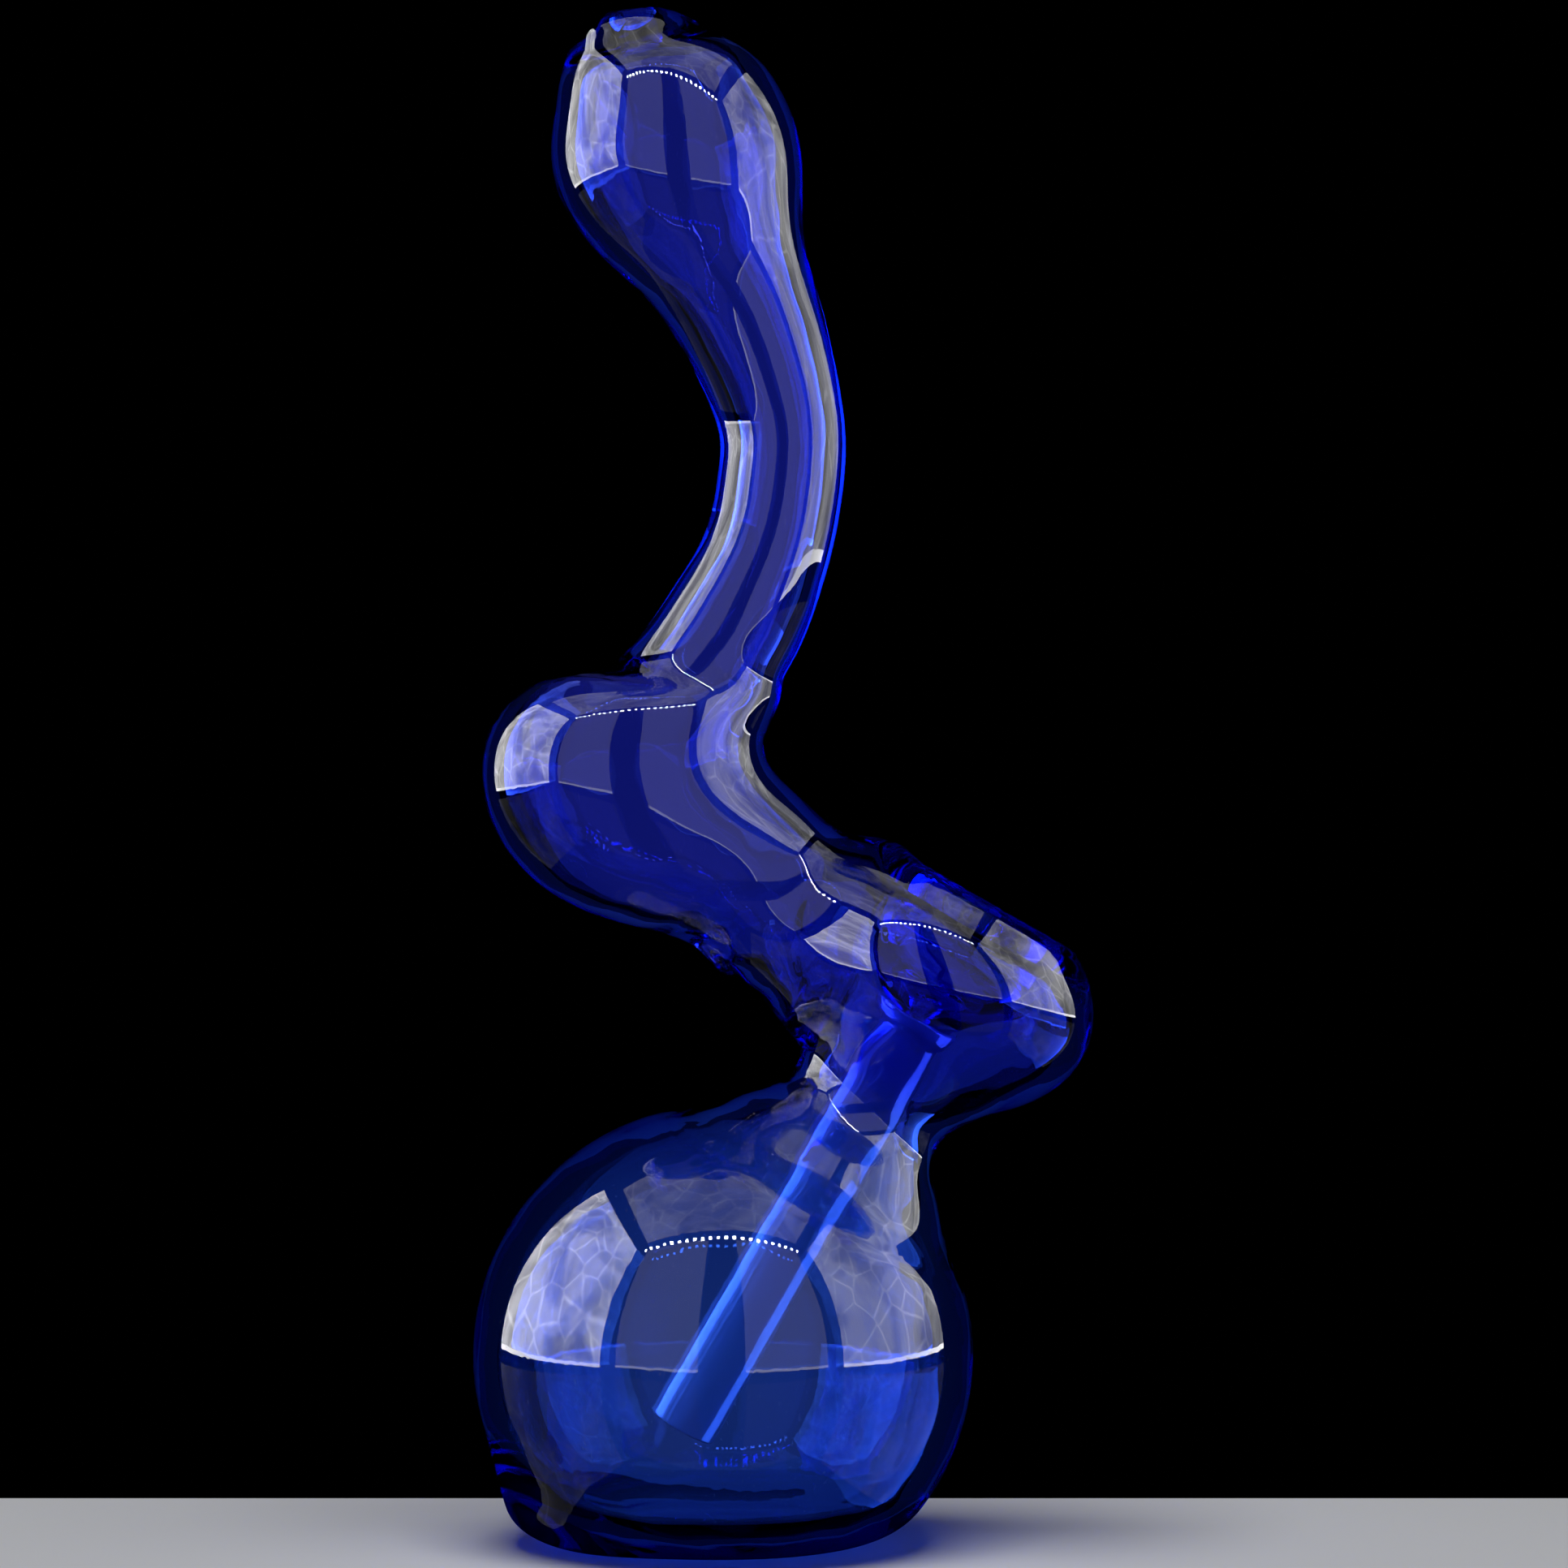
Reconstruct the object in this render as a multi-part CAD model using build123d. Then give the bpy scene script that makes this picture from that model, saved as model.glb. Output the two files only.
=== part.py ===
from build123d import *
import os
from collections import namedtuple
from math import cos, radians, sin

# A blown glass water pipe: a flat-bottomed water chamber, a leaning bowl head with a downstem
# inside, a zig-zag waist, a middle bulb and an S-shaped neck that ends in a mouthpiece bulb.
# The object's plane of symmetry is XZ. The origin is on the flat foot, under the ball's centre.
# Lengths are millimetres and angles are degrees.

# Driving dimensions
BASE_RADIUS = 32.0
BASE_CENTRE_Z = 24.3      # height of the ball's centre over the flat foot
BASE_DEPTH = 37.2         # the ball's centre below the throat, along the bowl axis
BASE_WALL = 3.4
HEEL_DEPTH = 70.9         # the ball's blunt heel below the throat, along the bowl axis
FLOOR = 3.6
WALL = 3.0

THROAT_RADIUS = 10.4
THROAT_BELOW = 5.0        # the throat section's ends, below and above its narrowest point
THROAT_ABOVE = 4.0
BOWL_TILT = 60.0          # the ball, throat, bowl and downstem share one axis, so far above level
THROAT_X = BASE_DEPTH * cos(radians(BOWL_TILT))
THROAT_Z = BASE_CENTRE_Z + BASE_DEPTH * sin(radians(BOWL_TILT))

HEAD_RADIUS = 20.8
HEAD_HEIGHT = 29.5        # from the throat to the rim plane, along the bowl axis
BOWL_OUTER = 13.0
BOWL_INNER = 10.0
BOWL_BOTTOM = 12.5        # underside of the bowl above the throat
BOWL_HOLE = 2.0
BOWL_LAND = 3.6           # height of the seal between the bowl and the head

STEM_OUTER = 4.5
STEM_INNER = 2.4
STEM_LENGTH = 60.4
COLLAR_OUTER = 5.7
COLLAR_LENGTH = 2.2

CARB_HOLE = 2.5
CARB_RING = 4.2
CARB_LIP = 0.4

MOUTH_HOLE = 3.0

# One cross-section of the blown tube: its centre, the angle of its long axis above level in the
# XZ plane, its half-width in that plane, its half-depth along Y and its wall.
Ring = namedtuple("Ring", "x z lean width depth wall", defaults=(WALL,))


def round_ring(x, z, lean, radius, wall=WALL):
    """A circular cross-section."""
    return Ring(x, z, lean, radius, radius, wall)


# The waist leaves the head's side. Its first two rings lie inside the head.
WAIST_END = Ring(2.2, 86.2, 42, 12.2, 12.0)
WAIST = [
    round_ring(16.5, 76.2, 51, 12.6),
    round_ring(11.5, 81.0, 39, 12.4),
    round_ring(6.5, 83.6, 42, 11.5),
    WAIST_END,
]

# The middle bulb turns the tube back over itself, so its rings fan out from a tight crease.
BULB_END = Ring(-3.3, 110.8, -12, 10.9, 10.2)
MIDDLE_BULB = [
    WAIST_END,
    Ring(-4.1, 89.0, 35, 14.7, 13.8),
    Ring(-9.5, 92.8, 24, 17.0, 15.2),
    Ring(-12.8, 99.4, 9, 18.2, 15.8),
    Ring(-12.0, 104.6, -3, 17.4, 15.2),
    Ring(-8.3, 108.1, -10, 14.7, 13.2),
    BULB_END,
]

# The neck bends over once and back, so it is an S.
NECK_MIDDLE = round_ring(7.4, 136.5, -3, 8.1)
LOWER_NECK = [
    BULB_END,
    Ring(-1.2, 113.8, -22, 9.5, 9.3),
    round_ring(1.8, 118.9, -24, 9.0),
    round_ring(4.7, 125.1, -18, 8.4),
    round_ring(6.6, 131.3, -9, 8.1),
    NECK_MIDDLE,
]
NECK_END = round_ring(0.3, 162.5, 13, 10.8)
UPPER_NECK = [
    NECK_MIDDLE,
    round_ring(7.7, 141.5, 5, 8.1),
    round_ring(6.6, 147.6, 15, 8.5),
    round_ring(4.0, 155.1, 16, 9.3),
    NECK_END,
]

# The mouthpiece bulb closes in on the mouth hole.
MOUTH_END = round_ring(-11.0, 193.3, 7, 8.5, 8.5 - MOUTH_HOLE)
MOUTH_BULB = [
    NECK_END,
    round_ring(-2.7, 167.5, 11, 13.1),
    round_ring(-5.3, 174.8, 9, 15.6),
    round_ring(-6.5, 180.1, 9, 15.7),
    round_ring(-7.5, 185.6, 8, 14.2),
    round_ring(-9.2, 190.5, 7, 11.4, 3.6),
    MOUTH_END,
]
MOUTH_TOP = round_ring(-12.1, 196.1, 7, 4.7)
MOUTH_LIP = [
    MOUTH_END,
    round_ring(-11.65, 195.0, 7, 6.8),
    MOUTH_TOP,
]


def ring_plane(ring):
    """The plane of a cross-section, with its normal along the tube."""
    lean = radians(ring.lean)
    return Plane(
        origin=(ring.x, 0, ring.z),
        x_dir=(cos(lean), 0, sin(lean)),
        z_dir=(-sin(lean), 0, cos(lean)),
    )


def ring_face(ring, inset=0.0):
    """The filled cross-section, drawn smaller by inset."""
    if ring.width == ring.depth:
        return ring_plane(ring) * Circle(ring.width - inset)
    return ring_plane(ring) * Ellipse(ring.width - inset, ring.depth - inset)


def tube(rings):
    """An open glass tube through a run of cross-sections."""
    outside = loft([ring_face(ring) for ring in rings])
    inside = loft([ring_face(ring, ring.wall) for ring in rings])
    return outside - inside


def bowl_axis():
    """Local frame on the bowl's axis: Z towards the rim, origin in the throat."""
    tilt = radians(BOWL_TILT)
    return Plane(
        origin=(THROAT_X, 0, THROAT_Z),
        x_dir=(sin(tilt), 0, -cos(tilt)),
        z_dir=(cos(tilt), 0, sin(tilt)),
    )


def turned(outline):
    """A solid of revolution about the bowl's axis from its half outline of radius and height."""
    face = Plane.XZ * make_face(outline)
    return bowl_axis().location * revolve(face, Axis.Z)


def body_outline():
    """The outer half outline of ball, throat and head, from the heel to the rim."""
    heel_arc = 52
    shoulder = 43.5
    ball = CenterArc((0, -BASE_DEPTH), BASE_RADIUS, heel_arc - 90, 180 - shoulder - heel_arc)
    heel = Spline(
        (0, -HEEL_DEPTH),
        (7.5, 0.3 - HEEL_DEPTH),
        (12.4, 1.6 - HEEL_DEPTH),
        (17.4, 6.0 - HEEL_DEPTH),
        ball @ 0,
        tangents=[(1, 0), ball % 0],
    )
    flare = Spline(
        ball @ 1,
        (14.2, -6.6),
        (THROAT_RADIUS, 0),
        (12.2, THROAT_ABOVE),
        (18.4, 11.2),
        (HEAD_RADIUS, 18.6),
        (19.3, 24.2),
        (BOWL_OUTER + 2.2, HEAD_HEIGHT - 0.6),
        (BOWL_OUTER, HEAD_HEIGHT),
        tangents=[ball % 1, (-1, 0)],
    )
    return heel + ball + flare


def body_inside():
    """The inner half outline, from the bottom pole to the wall of the bowl."""
    shoulder = 42.0
    ball = CenterArc((0, -BASE_DEPTH), BASE_RADIUS - BASE_WALL, -90, 180 - shoulder)
    flare = Spline(
        ball @ 1,
        (11.4, -8.2),
        (THROAT_RADIUS - WALL, 0),
        (9.4, 5.6),
        (15.6, 12.8),
        (HEAD_RADIUS - WALL, 18.8),
        (16.2, 23.2),
        (BOWL_OUTER, HEAD_HEIGHT - BOWL_LAND),
        tangents=[ball % 1, (-1, 1)],
    )
    return ball + flare


def body_envelope():
    """Ball, throat and head as one filled solid, with a plug standing out of the bowl."""
    top = HEAD_HEIGHT + BOWL_LAND
    closing = Polyline(
        (BOWL_OUTER, HEAD_HEIGHT), (BOWL_OUTER, top), (0, top), (0, -HEEL_DEPTH)
    )
    return turned(body_outline() + closing)


def body_hollow():
    """The hollow of ball, throat and head, with the bowl's hole running out through the rim."""
    top = HEAD_HEIGHT + BOWL_LAND
    bottom = BASE_WALL - BASE_DEPTH - BASE_RADIUS
    closing = Polyline((BOWL_OUTER, HEAD_HEIGHT - BOWL_LAND), (BOWL_OUTER, top), (0, top), (0, bottom))
    return turned(body_inside() + closing)


def above(height):
    """A block that fills all the space above a level."""
    return Pos(0, 0, height) * Box(400, 400, 400, align=(Align.CENTER, Align.CENTER, Align.MIN))


def between(low, high):
    """A slice of space across the bowl's axis."""
    return bowl_axis().location * Pos(0, 0, low) * Cylinder(
        2 * BASE_RADIUS, high - low, align=(Align.CENTER, Align.CENTER, Align.MIN)
    )


def base_chamber():
    """The ball-shaped water chamber, flat underneath, with a thick floor."""
    outside = body_envelope() & above(0)
    inside = body_hollow() & above(FLOOR)
    return (outside - inside) & between(-3 * BASE_RADIUS, -THROAT_BELOW)


def throat():
    """The narrow collar between the chamber and the head."""
    return (body_envelope() - body_hollow()) & between(-THROAT_BELOW, THROAT_ABOVE)


def bowl_head():
    """The squashed bulb that carries the bowl, open to the throat, the waist and the bowl."""
    shell = (body_envelope() - body_hollow()) & between(THROAT_ABOVE, HEAD_HEIGHT)
    return shell - loft([ring_face(ring, ring.wall) for ring in WAIST])


def bowl_cup():
    """The cup pushed into the head: a flat rim, a rounded inside and a hole in the bottom."""
    outline = [
        Line((BOWL_HOLE, BOWL_BOTTOM), (STEM_OUTER, BOWL_BOTTOM)),
        Spline(
            (STEM_OUTER, BOWL_BOTTOM),
            (9.4, 17.2),
            (12.4, 22.4),
            (BOWL_OUTER, HEAD_HEIGHT - BOWL_LAND),
        ),
        Line((BOWL_OUTER, HEAD_HEIGHT - BOWL_LAND), (BOWL_OUTER, HEAD_HEIGHT)),
        Line((BOWL_OUTER, HEAD_HEIGHT), (BOWL_INNER + 0.8, HEAD_HEIGHT)),
        Spline(
            (BOWL_INNER + 0.8, HEAD_HEIGHT),
            (BOWL_INNER, HEAD_HEIGHT - 1.5),
            (9.4, 23.2),
            (6.4, 18.4),
            (BOWL_HOLE, 16.0),
        ),
        Line((BOWL_HOLE, 16.0), (BOWL_HOLE, BOWL_BOTTOM)),
    ]
    return turned(outline)


def pipe(outer, inner, low, high):
    """A straight tube on the bowl's axis between two heights above the throat."""
    ring = Circle(outer) - Circle(inner)
    start = bowl_axis().offset(low)
    return extrude(start * ring, high - low)


def downstem():
    """The straight tube from the bowl's hole down into the water."""
    return pipe(STEM_OUTER, STEM_INNER, BOWL_BOTTOM - STEM_LENGTH, BOWL_BOTTOM)


def stem_collar():
    """The bead of glass that seals the downstem under the bowl."""
    return pipe(COLLAR_OUTER, STEM_OUTER, BOWL_BOTTOM - COLLAR_LENGTH, BOWL_BOTTOM)


def carb_axis():
    """Frame of the air hole under the waist: origin on the outer wall, Z pointing out."""
    ring = WAIST[2]
    lean = radians(ring.lean)
    return Plane(
        origin=(ring.x - ring.width * cos(lean), 0, ring.z - ring.width * sin(lean)),
        x_dir=(0, 1, 0),
        z_dir=(-cos(lean), 0, -sin(lean)),
    )


def waist():
    """The tube from the head's side to the middle bulb, with the seat of the air hole."""
    drill = extrude(carb_axis().offset(-2 * WALL) * Circle(CARB_RING), 4 * WALL)
    return tube(WAIST) - body_envelope() - drill


def carb_ring():
    """The fire-polished bead round the air hole, following the wall and proud of it."""
    low = carb_axis().offset(-2 * WALL)
    plug = extrude(low * Circle(CARB_RING), 4 * WALL)
    swollen = loft([ring_face(ring, -CARB_LIP) for ring in WAIST])
    inside = loft([ring_face(ring, ring.wall) for ring in WAIST])
    bore = extrude(low * Circle(CARB_HOLE), 4 * WALL)
    return (swollen - inside) & plug - bore


def mouth_lip():
    """The rounded lip round the mouth hole, which runs along the line of its centres."""
    outside = loft([ring_face(ring) for ring in MOUTH_LIP])
    start = Vector(MOUTH_END.x, 0, MOUTH_END.z)
    way = (Vector(MOUTH_TOP.x, 0, MOUTH_TOP.z) - start).normalized()
    hole = Plane(origin=start - way * WALL, z_dir=way) * Circle(MOUTH_HOLE)
    return outside - extrude(hole, 4 * WALL)


def build():
    """Every glass section under its node name."""
    return {
        "base_chamber": base_chamber(),
        "throat": throat(),
        "bowl_head": bowl_head(),
        "bowl_cup": bowl_cup(),
        "downstem": downstem(),
        "stem_collar": stem_collar(),
        "waist": waist(),
        "carb_ring": carb_ring(),
        "middle_bulb": tube(MIDDLE_BULB),
        "lower_neck": tube(LOWER_NECK),
        "upper_neck": tube(UPPER_NECK),
        "mouth_bulb": tube(MOUTH_BULB),
        "mouth_lip": mouth_lip(),
    }


os.makedirs("parts", exist_ok=True)
for name, solid in build().items():
    export_step(solid, f"parts/{name}.step")
    box = solid.bounding_box()
    print(f"{name:14s} {solid.volume / 1000:7.2f} cm3  {box.min.Z:6.1f} to {box.max.Z:6.1f}")
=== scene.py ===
import math

import bpy
import numpy as np
import openvdb
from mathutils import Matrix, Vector


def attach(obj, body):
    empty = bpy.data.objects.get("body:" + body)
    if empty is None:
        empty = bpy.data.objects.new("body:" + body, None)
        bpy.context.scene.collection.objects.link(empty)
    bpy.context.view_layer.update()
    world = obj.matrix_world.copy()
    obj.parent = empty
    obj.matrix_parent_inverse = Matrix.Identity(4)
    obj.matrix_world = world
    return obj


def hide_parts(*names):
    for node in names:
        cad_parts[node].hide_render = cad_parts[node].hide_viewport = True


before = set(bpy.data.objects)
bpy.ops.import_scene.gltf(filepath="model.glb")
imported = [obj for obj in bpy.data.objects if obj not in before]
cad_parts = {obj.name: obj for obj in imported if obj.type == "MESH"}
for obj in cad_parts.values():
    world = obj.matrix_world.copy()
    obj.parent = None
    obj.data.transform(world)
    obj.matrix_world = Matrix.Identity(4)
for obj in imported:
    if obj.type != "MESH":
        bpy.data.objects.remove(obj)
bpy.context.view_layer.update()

# Lengths are millimetres until a mesh is made. The glass is built as a field of signed distances,
# negative inside, on a grid of CELL, so that its sections melt into each other as blown glass does.
MM = 0.001
CELL = 0.5
REACH = 14                # grid cells on each side of a surface in which distances are known
LOW = np.array([-36.0, -36.0, -4.0])
SHAPE = (172, 144, 416)


# ---------------------------------------------------------------- curves and fields

def cubic(rows, step):
    """A natural cubic spline through rows of numbers, sampled about every step of chord."""
    rows = np.asarray(rows, float)
    chord = np.hypot(np.diff(rows[:, 0]), np.diff(rows[:, 1]))
    t = np.concatenate(([0.0], np.cumsum(chord)))
    n = len(t)
    h = np.diff(t)
    system = np.eye(n)
    right = np.zeros_like(rows)
    for i in range(1, n - 1):
        system[i, i - 1:i + 2] = h[i - 1], 2 * (h[i - 1] + h[i]), h[i]
        right[i] = 6 * ((rows[i + 1] - rows[i]) / h[i] - (rows[i] - rows[i - 1]) / h[i - 1])
    bend = np.linalg.solve(system, right)
    at = np.linspace(0, t[-1], max(2, int(round(t[-1] / step)) + 1))
    k = np.clip(np.searchsorted(t, at) - 1, 0, n - 2)
    gap = h[k][:, None]
    b = (at - t[k])[:, None] / gap
    a = 1 - b
    return (a * rows[k] + b * rows[k + 1]
            + ((a ** 3 - a) * bend[k] + (b ** 3 - b) * bend[k + 1]) * gap ** 2 / 6)


def skin(centres, across, widths, depths, around=96):
    """Points and quads of a closed tube through elliptical sections, capped at both ends."""
    angle = np.linspace(0, 2 * math.pi, around, endpoint=False)
    ring = (centres[:, None, :]
            + across[:, None, :] * (widths[:, None] * np.cos(angle))[:, :, None]
            + np.array([0, 1, 0]) * (depths[:, None] * np.sin(angle))[:, :, None])
    n = len(centres)
    points = np.concatenate((ring.reshape(-1, 3), centres[:1], centres[-1:]))
    i = np.arange(n - 1)[:, None] * around
    j = np.arange(around)
    k = (j + 1) % around
    quads = np.stack(np.broadcast_arrays(i + j, i + k, i + around + k, i + around + j), -1)
    last = (n - 1) * around
    caps = np.concatenate((
        np.stack((np.full(around, n * around), k, j), -1),
        np.stack((np.full(around, n * around + 1), last + j, last + k), -1)))
    return points, quads.reshape(-1, 4), caps


def distance(points, quads, caps):
    """The signed distance of a closed skin over the whole grid."""
    shift = (points - LOW) / CELL
    level = openvdb.FloatGrid.createLevelSetFromPolygons(
        shift.astype(np.float32), triangles=caps.astype(np.uint32), quads=quads.astype(np.uint32),
        halfWidth=REACH)
    out = np.zeros(SHAPE, np.float32)
    level.copyToArray(out)
    return out * CELL


def melt(a, b, size):
    """Union of two fields with a fillet about size wide."""
    mix = np.maximum(size - np.abs(a - b), 0) / size
    return np.minimum(a, b) - mix ** 2 * size / 4


def trim(a, b, size):
    """The part of a field that lies in another, with its edges rounded."""
    return -melt(-a, -b, size)


AXIS = [LOW[i] + CELL * np.arange(SHAPE[i], dtype=np.float32) for i in range(3)]
X, Y, Z = np.meshgrid(*AXIS, indexing="ij", sparse=True)


# ---------------------------------------------------------------- the glass body

# Ball, throat, head and bowl are turned about one axis, tilted over the foot.
TILT = math.radians(60)
THROAT = np.array([18.6, 0.0, 56.52])
UP = np.array([math.cos(TILT), 0.0, math.sin(TILT)])
SIDE = np.array([math.sin(TILT), 0.0, -math.cos(TILT)])
BALL_DEPTH = 37.2         # the ball's centre below the throat, along the axis
BALL_RADIUS = 32.0
BALL_INSIDE = 28.6
RIM = 29.5                # the bowl's rim above the throat, along the axis
FLOOR = 3.6
FOOT_ROUND = 5.0
RIPPLE = 0.22


def arc(radius, start, stop):
    """Points on the ball's circle as radius and height, from start to stop in degrees."""
    angle = np.radians(np.arange(start, stop, 1.5))
    return np.stack((radius * np.cos(angle), radius * np.sin(angle) - BALL_DEPTH), -1)


def turned(outline):
    """The field of a solid of revolution about the bowl's axis."""
    outline = np.asarray(outline, float)
    radius = np.maximum(outline[:, 0], 0.02)
    centres = THROAT + outline[:, 1:2] * UP
    return distance(*skin(centres, np.tile(SIDE, (len(outline), 1)), radius, radius, 128))


outer_flare = cubic([
    (22.0, -14.1), (17.6, -10.6), (14.2, -6.6), (10.4, 0), (12.2, 4), (18.4, 11.2),
    (20.8, 18.6), (19.3, 24.2), (15.2, 28.9)], 0.8)
heel = cubic([
    (0, -70.9), (3.75, -70.8), (7.5, -70.6), (12.4, -69.3), (17.4, -64.9),
    (22.2, -60.2), (25.2, -56.9)], 0.8)
inner_flare = cubic([
    (19.0, -16.0), (15.0, -12.3), (11.4, -8.2), (7.4, 0), (9.4, 5.6), (15.6, 12.8),
    (17.8, 18.8), (16.2, 22.9), (13.0, 25.9)], 0.8)
body_out = turned(np.concatenate((
    heel, arc(BALL_RADIUS, -36, 44), outer_flare, [(13.0, RIM), (10.0, RIM)])))
body_in = turned(np.concatenate((arc(BALL_INSIDE, -90, 46), inner_flare)))

# Sections of the blown tube: x, z, lean in degrees, half-width, half-depth and wall.
SECTIONS = [
    (16.5, 76.2, 51, 12.6, 12.6, 3.0),
    (11.5, 81.0, 39, 12.4, 12.4, 3.0),
    (6.5, 83.6, 42, 11.5, 11.5, 3.2),
    (2.2, 86.2, 42, 12.2, 12.0, 3.2),
    (-4.1, 89.0, 35, 14.7, 13.8, 3.0),
    (-9.5, 92.8, 24, 17.0, 15.2, 3.0),
    (-12.8, 99.4, 9, 18.2, 15.8, 3.0),
    (-12.0, 104.6, -3, 17.4, 15.2, 3.0),
    (-8.3, 108.1, -10, 14.7, 13.2, 3.0),
    (-3.3, 110.8, -12, 10.9, 10.2, 3.0),
    (-1.2, 113.8, -22, 9.5, 9.3, 3.0),
    (1.8, 118.9, -24, 9.0, 9.0, 3.0),
    (4.7, 125.1, -18, 8.4, 8.4, 3.0),
    (6.6, 131.3, -9, 8.1, 8.1, 3.0),
    (7.4, 136.5, -3, 8.1, 8.1, 3.0),
    (7.7, 141.5, 5, 8.1, 8.1, 3.0),
    (6.6, 147.6, 15, 8.5, 8.5, 3.0),
    (4.0, 155.1, 16, 9.3, 9.3, 3.0),
    (0.3, 162.5, 13, 10.8, 10.8, 3.0),
    (-2.7, 167.5, 11, 13.1, 13.1, 3.0),
    (-5.3, 174.8, 9, 15.6, 15.6, 3.0),
    (-6.5, 180.1, 9, 15.7, 15.7, 3.0),
    (-7.5, 185.6, 8, 14.2, 14.2, 3.0),
    (-9.2, 190.5, 7, 11.4, 11.4, 3.6),
    (-11.0, 193.3, 7, 8.5, 8.5, 5.5),
    (-11.65, 195.0, 7, 6.8, 6.8, 3.8),
    (-12.1, 196.1, 7, 4.7, 4.7, 1.7),
]


def tube(sections, inset):
    """The field of a tube through sections, drawn in by their walls or not."""
    rows = cubic(sections, 0.9)
    lean = np.radians(rows[:, 2])
    zero = np.zeros_like(lean)
    centres = np.stack((rows[:, 0], zero, rows[:, 1]), -1)
    across = np.stack((np.cos(lean), zero, np.sin(lean)), -1)
    wall = rows[:, 5] if inset else 0
    return distance(*skin(centres, across, rows[:, 3] - wall, rows[:, 4] - wall))


tube_out = tube(SECTIONS, False)
# The inside runs on past the lip, to leave the mouth hole open.
PAST_LIP = [(-12.4, 196.9, 7, 7.0, 7.0, 4.0), (-13.8, 200.4, 7, 7.0, 7.0, 4.0)]
tube_in = tube(SECTIONS[:-2] + PAST_LIP, True)

outer = melt(body_out, tube_out, 5.0)
outer = trim(outer, -Z, FOOT_ROUND)


# The inside is rippled where the glass was worked: most round the throat and waist, least in the ball.
def bump_at(x, z, size):
    """One at a place in the plane of symmetry, fading out over size."""
    return np.exp(-((X - x) ** 2 + (Z - z) ** 2) / size ** 2)


worked = 0.3 + bump_at(14, 62, 16) + 1.2 * bump_at(2, 78, 9) - 0.3 * bump_at(0, 24, 36)
wave = np.sin(0.42 * X + 0.9) * np.sin(0.31 * Z) * np.cos(0.36 * Y)
wave = wave + 0.5 * np.sin(0.83 * X + 0.35 * Y) * np.sin(0.71 * Z + 0.5)
wave = RIPPLE * worked * wave
hollow = melt(body_in, tube_in, 3.0)
hollow = trim(hollow, FLOOR - Z, FOOT_ROUND) + wave.astype(np.float32)

cup_out = turned([(4.5, 12.3), (4.6, 12.5), *cubic([
    (5.5, 13.1), (9.4, 17.2), (12.4, 22.2), (13.0, 25.9), (13.0, RIM)], 0.8), (9.0, RIM)])
cup_in = turned([(2.0, 8.0), (2.0, 15.2), *cubic([
    (2.6, 16.2), (6.4, 18.4), (9.4, 23.2), (10.0, 28.0), (10.8, 29.7), (11.2, 32.5)], 0.8)])

glass = trim(outer, -hollow, 1.0)
glass = melt(glass, cup_out, 2.0)
glass = trim(glass, -cup_in, 1.6)

# The air hole under the waist, with its fire-polished bead.
HOLE = np.array([-2.05, 0.0, 75.9])
OUT = np.array([-0.743, 0.0, -0.669])
HOLE_RADIUS = 2.4
BEAD_RADIUS = 3.3
BEAD_THICK = 1.0
along = (X - HOLE[0]) * OUT[0] + (Z - HOLE[2]) * OUT[2]
apart = np.sqrt(np.maximum((X - HOLE[0]) ** 2 + Y ** 2 + (Z - HOLE[2]) ** 2 - along ** 2, 0))
bead = np.sqrt((apart - BEAD_RADIUS) ** 2 + (along + 0.6) ** 2) - BEAD_THICK
glass = melt(glass, bead, 1.2)
drill = np.maximum(apart - HOLE_RADIUS, np.abs(along + 2) - 6)
glass = trim(glass, -drill, 0.8)

# ---------------------------------------------------------------- meshes

def sample(field, points):
    """A field's value at points, from its eight neighbours on the grid."""
    at = np.clip((points - LOW) / CELL, 0, np.array(SHAPE) - 1.001)
    low = at.astype(int)
    part = at - low
    total = 0.0
    for i in (0, 1):
        for j in (0, 1):
            for k in (0, 1):
                weight = (np.abs(1 - i - part[:, 0]) * np.abs(1 - j - part[:, 1])
                          * np.abs(1 - k - part[:, 2]))
                total = total + weight * field[low[:, 0] + i, low[:, 1] + j, low[:, 2] + k]
    return total


def slope(field, points, reach=0.5):
    """The outward direction of a field at points."""
    step = np.eye(3) * reach
    way = np.stack([sample(field, points + s) - sample(field, points - s) for s in step], -1)
    return way / np.maximum(np.linalg.norm(way, axis=1), 1e-6)[:, None]


def thin_out(piece, faces):
    """Leaves about so many triangles, most of them where the surface bends most, in a new mesh."""
    mesh = piece.data
    mesh.calc_loop_triangles()
    fewer = piece.modifiers.new("fewer", "DECIMATE")
    fewer.ratio = faces / len(mesh.loop_triangles)
    graph = bpy.context.evaluated_depsgraph_get()
    plain_mesh = bpy.data.meshes.new_from_object(piece.evaluated_get(graph))
    piece.modifiers.clear()
    piece.data = plain_mesh
    plain_mesh.name = mesh.name
    bpy.data.meshes.remove(mesh)
    return plain_mesh


def mesh_object(name, points, quads, material):
    """A smooth piece on the root body, from points in millimetres."""
    mesh = bpy.data.meshes.new(name)
    mesh.from_pydata((points * MM).tolist(), [], quads.tolist())
    mesh.polygons.foreach_set("use_smooth", np.ones(len(mesh.polygons), bool))
    mesh.materials.append(material)
    mesh.update()
    piece = bpy.data.objects.new(name, mesh)
    bpy.context.scene.collection.objects.link(piece)
    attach(piece, "root")
    return piece


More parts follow.
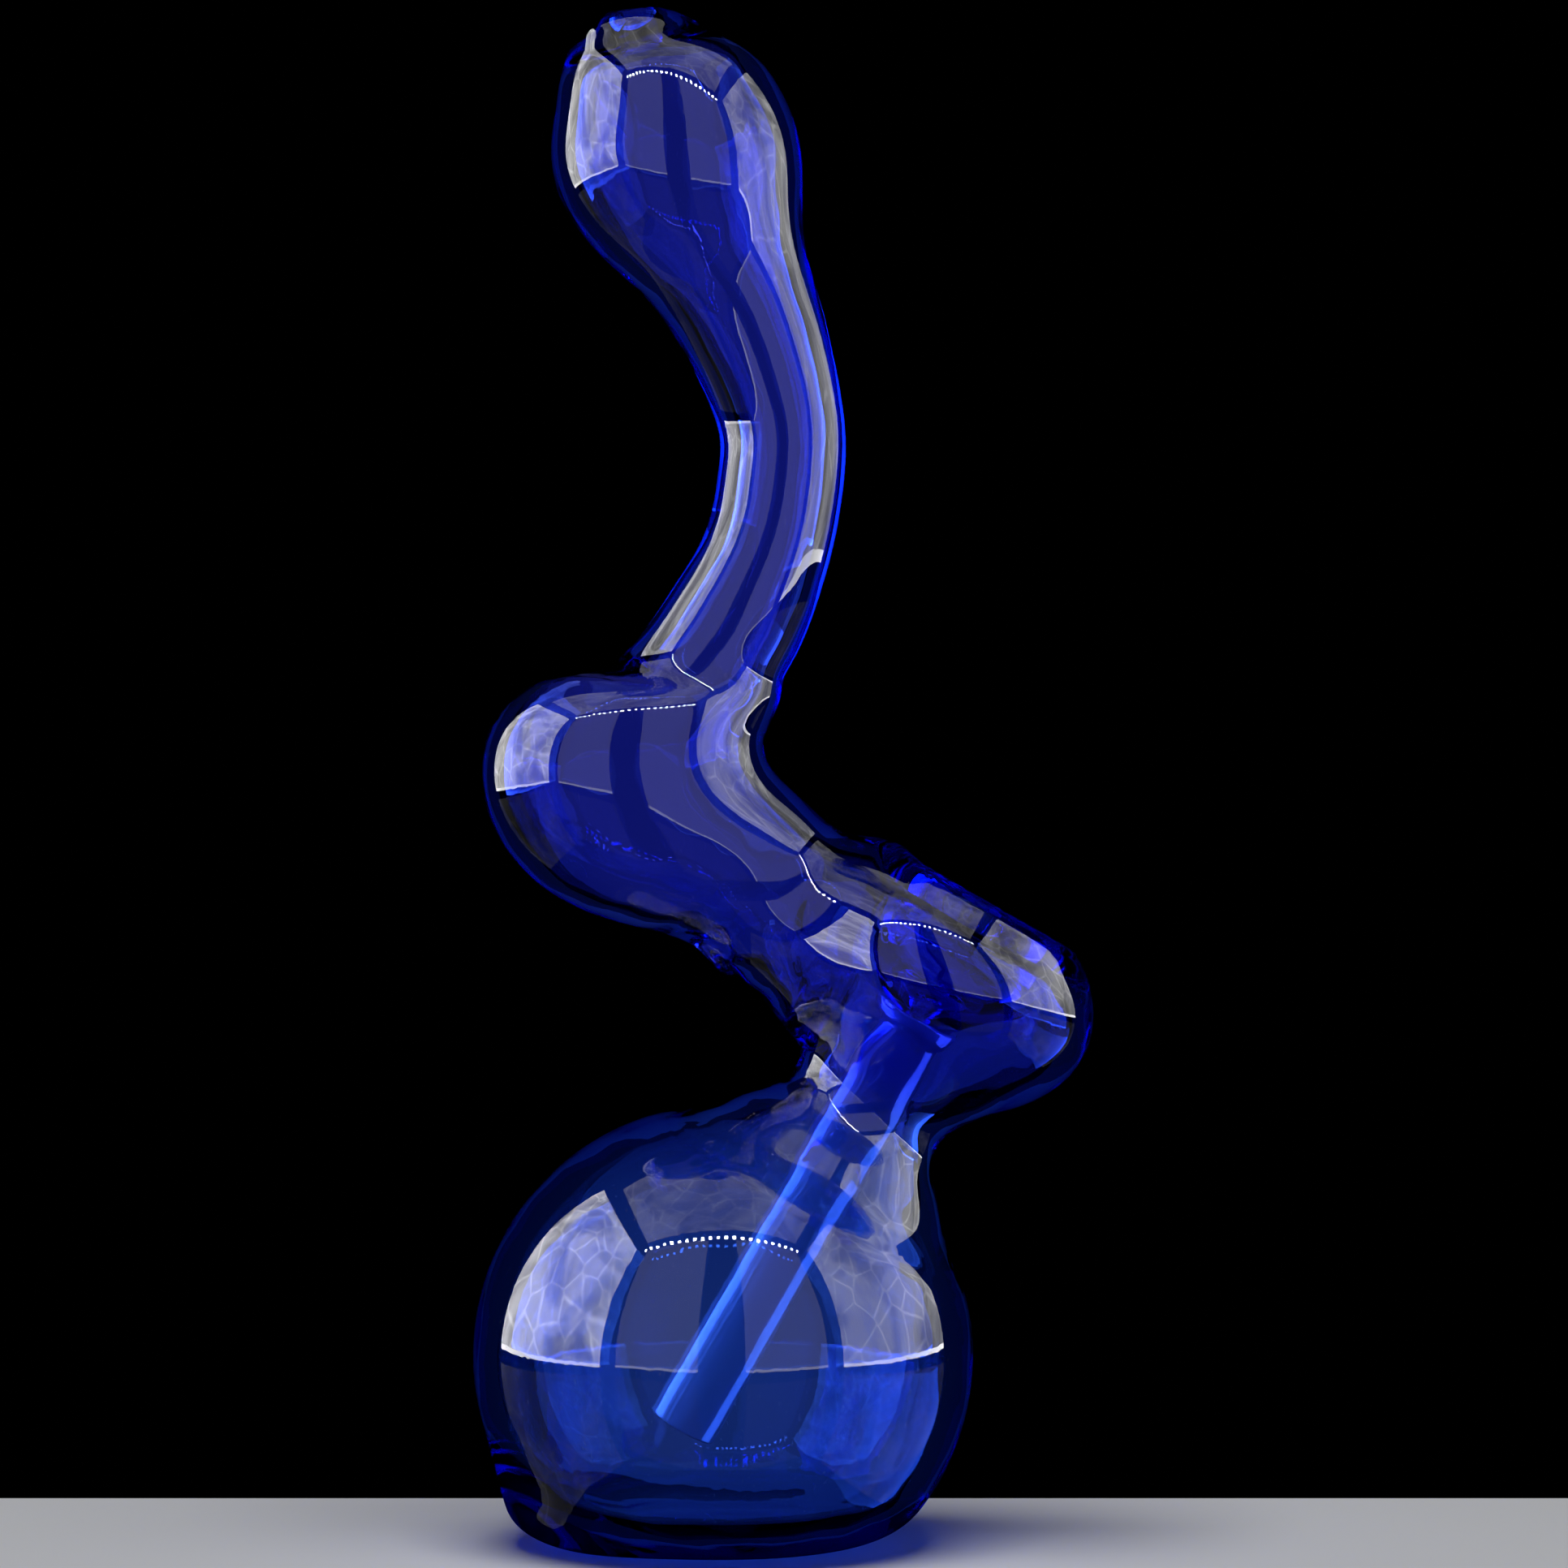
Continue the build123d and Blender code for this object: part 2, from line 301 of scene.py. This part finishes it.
def noise(tree, scale, detail, place, stretch=(1, 1, 1)):
    """Noise over the object's own coordinates, in millimetres about scale across."""
    mapping = tree.nodes.new("ShaderNodeMapping")
    mapping.inputs["Scale"].default_value = [s / scale / MM for s in stretch]
    made = tree.nodes.new("ShaderNodeTexNoise")
    made.inputs["Scale"].default_value = 1.0
    made.inputs["Detail"].default_value = detail
    tree.links.new(place, mapping.inputs["Vector"])
    tree.links.new(mapping.outputs["Vector"], made.inputs["Vector"])
    return made.outputs["Fac"]


def remap(tree, value, low, high, to_low, to_high):
    """A value moved from one range to another, held within it."""
    made = tree.nodes.new("ShaderNodeMapRange")
    made.interpolation_type = "SMOOTHSTEP"
    for key, number in zip(("From Min", "From Max", "To Min", "To Max"), (low, high, to_low, to_high)):
        made.inputs[key].default_value = number
    tree.links.new(value, made.inputs["Value"])
    return made.outputs["Result"]


TINT_HEIGHTS = (0.045, 0.068)     # metres between which the surface tint changes


def glass_material(name, low_tint, high_tint, absorb, density, clear=1.0):
    """Coloured glass, milky where clear is under 1. Its colour is in the volume, with a surface
    tint that changes from low_tint to high_tint going up."""
    material = bpy.data.materials.new(name)
    material.use_nodes = True
    tree = material.node_tree
    tree.nodes.clear()
    out = tree.nodes.new("ShaderNodeOutputMaterial")
    shader = tree.nodes.new("ShaderNodeBsdfPrincipled")
    shader.inputs["Transmission Weight"].default_value = clear
    shader.inputs["IOR"].default_value = 1.47
    volume = tree.nodes.new("ShaderNodeVolumeAbsorption")
    volume.inputs["Color"].default_value = (*absorb, 1)
    volume.inputs["Density"].default_value = density
    tree.links.new(shader.outputs["BSDF"], out.inputs["Surface"])
    tree.links.new(volume.outputs["Volume"], out.inputs["Volume"])

    place = tree.nodes.new("ShaderNodeTexCoord").outputs["Object"]
    height = tree.nodes.new("ShaderNodeSeparateXYZ")
    tree.links.new(place, height.inputs["Vector"])
    deeper = remap(tree, height.outputs["Z"], *TINT_HEIGHTS, 0.0, 1.0)
    cloud = tree.nodes.new("ShaderNodeMath")
    cloud.operation = "MULTIPLY_ADD"
    tree.links.new(noise(tree, 14, 2, place, (1, 1, 0.4)), cloud.inputs[0])
    cloud.inputs[1].default_value = 0.3
    tree.links.new(deeper, cloud.inputs[2])
    tint = tree.nodes.new("ShaderNodeMix")
    tint.data_type = "RGBA"
    tint.inputs["A"].default_value = (*low_tint, 1)
    tint.inputs["B"].default_value = (*high_tint, 1)
    tree.links.new(cloud.outputs[0], tint.inputs["Factor"])
    tree.links.new(tint.outputs["Result"], shader.inputs["Base Color"])

    specks = noise(tree, 0.5, 3, place, (1, 1, 0.25))
    scuff = remap(tree, specks, 0.66, 0.74, 0.0, 0.16)
    tree.links.new(scuff, shader.inputs["Roughness"])
    bump = tree.nodes.new("ShaderNodeBump")
    bump.inputs["Strength"].default_value = 0.1
    bump.inputs["Distance"].default_value = 0.0006
    tree.links.new(noise(tree, 9, 1, place, (1, 1, 0.5)), bump.inputs["Height"])
    tree.links.new(bump.outputs["Normal"], shader.inputs["Normal"])
    return material


cobalt = glass_material("cobalt_glass", (1, 1, 1), (0.66, 0.48, 1.0), (0.03, 0.42, 0.94), 500)
pale = glass_material(
    "pale_blue_glass", (0.82, 0.93, 1), (0.5, 0.6, 1), (0.25, 0.6, 0.95), 60, clear=0.5)

BODY_FACES = 150000
SHADING_REACH = 0.9       # millimetres over which the shading direction is taken

surface = openvdb.FloatGrid(background=REACH * CELL)
surface.copyFromArray(np.ascontiguousarray(glass.astype(np.float32)))
points, quads = surface.convertToQuads(isovalue=0.0)
points = points * CELL + LOW
body = mesh_object("glass_body", points, quads, cobalt)
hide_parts("base_chamber", "throat", "bowl_head", "bowl_cup", "waist", "carb_ring",
            "middle_bulb", "lower_neck", "upper_neck", "mouth_bulb", "mouth_lip")
mesh = thin_out(body, BODY_FACES)
count = len(mesh.vertices)
places = np.empty(count * 3)
mesh.vertices.foreach_get("co", places)
places = places.reshape(-1, 3) / MM
for _ in range(2):
    places -= slope(glass, places) * sample(glass, places)[:, None]
mesh.vertices.foreach_set("co", (places * MM).ravel())
mesh.update()
mesh.polygons.foreach_set("use_smooth", np.ones(len(mesh.polygons), bool))
mesh.normals_split_custom_set_from_vertices(slope(glass, places, SHADING_REACH).tolist())


def pipe(outline):
    """A closed ring of revolution about the bowl's axis, from radius and height round its wall."""
    outline = np.asarray(outline, float)
    around = 96
    angle = np.linspace(0, 2 * math.pi, around, endpoint=False)
    out = SIDE * np.cos(angle)[:, None] + np.array([0, 1, 0]) * np.sin(angle)[:, None]
    ring = THROAT + outline[:, None, 1:2] * UP + outline[:, None, 0:1] * out
    n = len(outline)
    i = np.arange(n)[:, None]
    j = np.arange(around)
    k = (j + 1) % around
    up = (i + 1) % n
    quads = np.stack((i * around + j, i * around + k, up * around + k, up * around + j), -1)
    return ring.reshape(-1, 3), quads.reshape(-1, 4)


STEM_TOP = 12.44
STEM_FOOT = -47.9
BORE = 2.4
STEM = 4.5
stem_points, stem_quads = pipe([
    (BORE, STEM_TOP), (BORE, STEM_TOP - 0.3),
    (BORE, STEM_FOOT + 0.3), (BORE + 0.05, STEM_FOOT + 0.1), (BORE + 0.2, STEM_FOOT),
    (STEM - 0.2, STEM_FOOT), (STEM - 0.05, STEM_FOOT + 0.1), (STEM, STEM_FOOT + 0.3),
    (STEM, 9.8), (4.7, 10.3), (5.4, 10.7), (5.7, 11.4), (5.7, 12.2), (5.6, STEM_TOP)])
stem = mesh_object("downstem_tube", stem_points, stem_quads[:, ::-1], pale)
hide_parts("downstem", "stem_collar")

# ---------------------------------------------------------------- floor, light and camera

def plain(name, colour, roughness):
    """An even matt material, for the floor."""
    material = bpy.data.materials.new(name)
    material.use_nodes = True
    shader = material.node_tree.nodes["Principled BSDF"]
    shader.inputs["Base Color"].default_value = (*colour, 1)
    shader.inputs["Roughness"].default_value = roughness
    return material


FLOOR_SIDE = 0.5
FLOOR_NEAR = -0.35
FLOOR_FAR = 0.045
corners = [(-FLOOR_SIDE, FLOOR_NEAR, 0), (FLOOR_SIDE, FLOOR_NEAR, 0),
           (FLOOR_SIDE, FLOOR_FAR, 0), (-FLOOR_SIDE, FLOOR_FAR, 0)]
floor_mesh = bpy.data.meshes.new("floor")
floor_mesh.from_pydata(corners, [], [(0, 1, 2, 3)])
floor_mesh.materials.append(plain("floor_paper", (0.75, 0.76, 0.78), 0.7))
floor = bpy.data.objects.new("floor", floor_mesh)
floor.visible_glossy = False
floor.visible_transmission = False
bpy.context.scene.collection.objects.link(floor)

glass_only = bpy.data.collections.new("lit_by_the_tent")
glass_only.objects.link(body)
glass_only.objects.link(stem)
floor_only = bpy.data.collections.new("lit_by_the_floor_lamp")
floor_only.objects.link(floor)


def panel(name, place, towards, width, height, radiance, receivers=glass_only,
          creased=0.0, pitch=0.0):
    """A rectangular light that shines towards a direction, seen as bright as radiance. It can be
    uneven like creased cloth, or broken into lamps that lie pitch metres apart."""
    light = bpy.data.lights.new(name, "AREA")
    light.shape = "RECTANGLE"
    light.size = width
    light.size_y = height
    light.energy = radiance * width * height * math.pi
    lamp = bpy.data.objects.new(name, light)
    lamp.location = place
    lamp.rotation_euler = Vector(towards).to_track_quat("-Z", "Y").to_euler()
    lamp.visible_camera = False
    lamp.light_linking.receiver_collection = receivers
    bpy.context.scene.collection.objects.link(lamp)
    if creased or pitch:
        light.use_nodes = True
        tree = light.node_tree
        where = tree.nodes.new("ShaderNodeNewGeometry").outputs["Position"]
    if creased:
        folds = tree.nodes.new("ShaderNodeTexNoise")
        folds.inputs["Scale"].default_value = 3.2
        folds.inputs["Detail"].default_value = 5.0
        folds.inputs["Distortion"].default_value = 1.0
        tree.links.new(where, folds.inputs["Vector"])
        soft = remap(tree, folds.outputs["Fac"], 0.35, 0.65, 1 - creased, 1 + creased)
        edges = tree.nodes.new("ShaderNodeTexVoronoi")
        edges.feature = "DISTANCE_TO_EDGE"
        edges.inputs["Scale"].default_value = 7.0
        tree.links.new(where, edges.inputs["Vector"])
        crease = remap(tree, edges.outputs["Distance"], 0.0, 0.06, 1.45, 0.94)
        strength = tree.nodes.new("ShaderNodeMath")
        strength.operation = "MULTIPLY"
        tree.links.new(soft, strength.inputs[0])
        tree.links.new(crease, strength.inputs[1])
        tree.links.new(strength.outputs[0], tree.nodes["Emission"].inputs["Strength"])
    if pitch:
        dots = tree.nodes.new("ShaderNodeTexWave")
        dots.inputs["Scale"].default_value = 0.314 / pitch
        tree.links.new(where, dots.inputs["Vector"])
        strength = remap(tree, dots.outputs["Fac"], 0.62, 0.8, 0.0, 2.0)
        tree.links.new(strength, tree.nodes["Emission"].inputs["Strength"])
    return lamp


# A light tent over a glossy table: a front cloth with a slit for the lens, two side walls and a roof.
# Each wall has a bright hem along its foot, and is mirrored faintly in the table below it.
FRONT = -0.45
SIDE_X = 0.57
BOTTOM = 0.02
ROOF = 0.76
SLIT = 0.083
CLOTH = 0.42
DEPTH = 0.72
DEPTH_MIDDLE = -0.03
SIDE_RADIANCE = {"left": 4.5, "right": 2.5}
SIDE_CREASE = 0.5
middle = (ROOF + BOTTOM) / 2
tall = ROOF - BOTTOM
for name, sign in (("left", -1), ("right", 1)):
    at = sign * (SLIT + CLOTH / 2)
    wall = sign * SIDE_X
    inward = (-sign, 0, 0)
    panel("front_" + name, (at, FRONT, middle), (0, 1, 0), CLOTH, tall, 0.75)
    panel("front_hem_" + name, (at, FRONT, BOTTOM - 0.005), (0, 1, 0), CLOTH, 0.01, 3.5)
    panel("front_mirrored_" + name, (at, FRONT, BOTTOM - 0.26), (0, 1, 0), CLOTH, 0.42, 0.06)
    panel("side_" + name, (wall, DEPTH_MIDDLE, middle), inward, DEPTH, tall,
          SIDE_RADIANCE[name], creased=SIDE_CREASE)
    panel("side_hem_" + name, (wall, DEPTH_MIDDLE, BOTTOM - 0.007), inward, DEPTH, 0.014, 10.0)
    panel("side_mirrored_" + name, (wall, DEPTH_MIDDLE, BOTTOM - 0.31), inward, DEPTH, 0.52,
          0.14, creased=SIDE_CREASE)
panel("front_leds", (0, FRONT, ROOF + 0.03), (0, 0.5, -0.86), 1.1, 0.022, 45.0, pitch=0.05)
panel("roof", (0, -0.1, ROOF + 0.06), (0, 0, -1), 1.0, 0.6, 1.2, creased=0.4)

# Seen only through the glass: a dim backdrop with a brighter middle, a glow along the inner tube
# and a dim fill below the right wall.
behind = [
    panel("back", (0, 0.5, 0.1), (0, -1, 0), 0.26, 0.55, 0.15),
    panel("back_wide", (0, 0.6, 0.1), (0, -1, 0), 1.3, 1.0, 0.035),
    panel("glow", (0.33, 0.1, -0.16), (-0.86, -0.15, 0.5), 0.34, 0.3, 1.7),
    panel("fill", (0.6, 0.1, -0.2), (-1, 0, 0.2), 0.8, 0.42, 0.3),
]
for lamp in behind:
    lamp.visible_glossy = False
panel("floor_lamp", (0, -0.2, 0.9), (0, 0.15, -0.9), 0.6, 0.4, 7.0, floor_only)

world = bpy.data.worlds.new("studio")
bpy.context.scene.world = world
world.use_nodes = True
world.node_tree.nodes["Background"].inputs["Color"].default_value = (0.0, 0.0, 0.0, 1)

camera_data = bpy.data.cameras.new("camera")
camera = bpy.data.objects.new("camera", camera_data)
bpy.context.scene.collection.objects.link(camera)
bpy.context.scene.camera = camera
DISTANCE = 0.70
AIM = Vector((0.0078, 0.0, 0.0974))
WIDTH_SEEN = 0.2009
camera_data.sensor_width = 36.0
camera_data.lens = camera_data.sensor_width * DISTANCE / WIDTH_SEEN
camera.location = AIM + Vector((0, -DISTANCE, 0))
camera.rotation_euler = (math.pi / 2, 0, 0)
camera_data.clip_start = 0.05
camera_data.clip_end = 20

cycles = bpy.context.scene.cycles
cycles.max_bounces = 32
cycles.transmission_bounces = 32
cycles.glossy_bounces = 16
bpy.context.scene.view_settings.view_transform = "Standard"
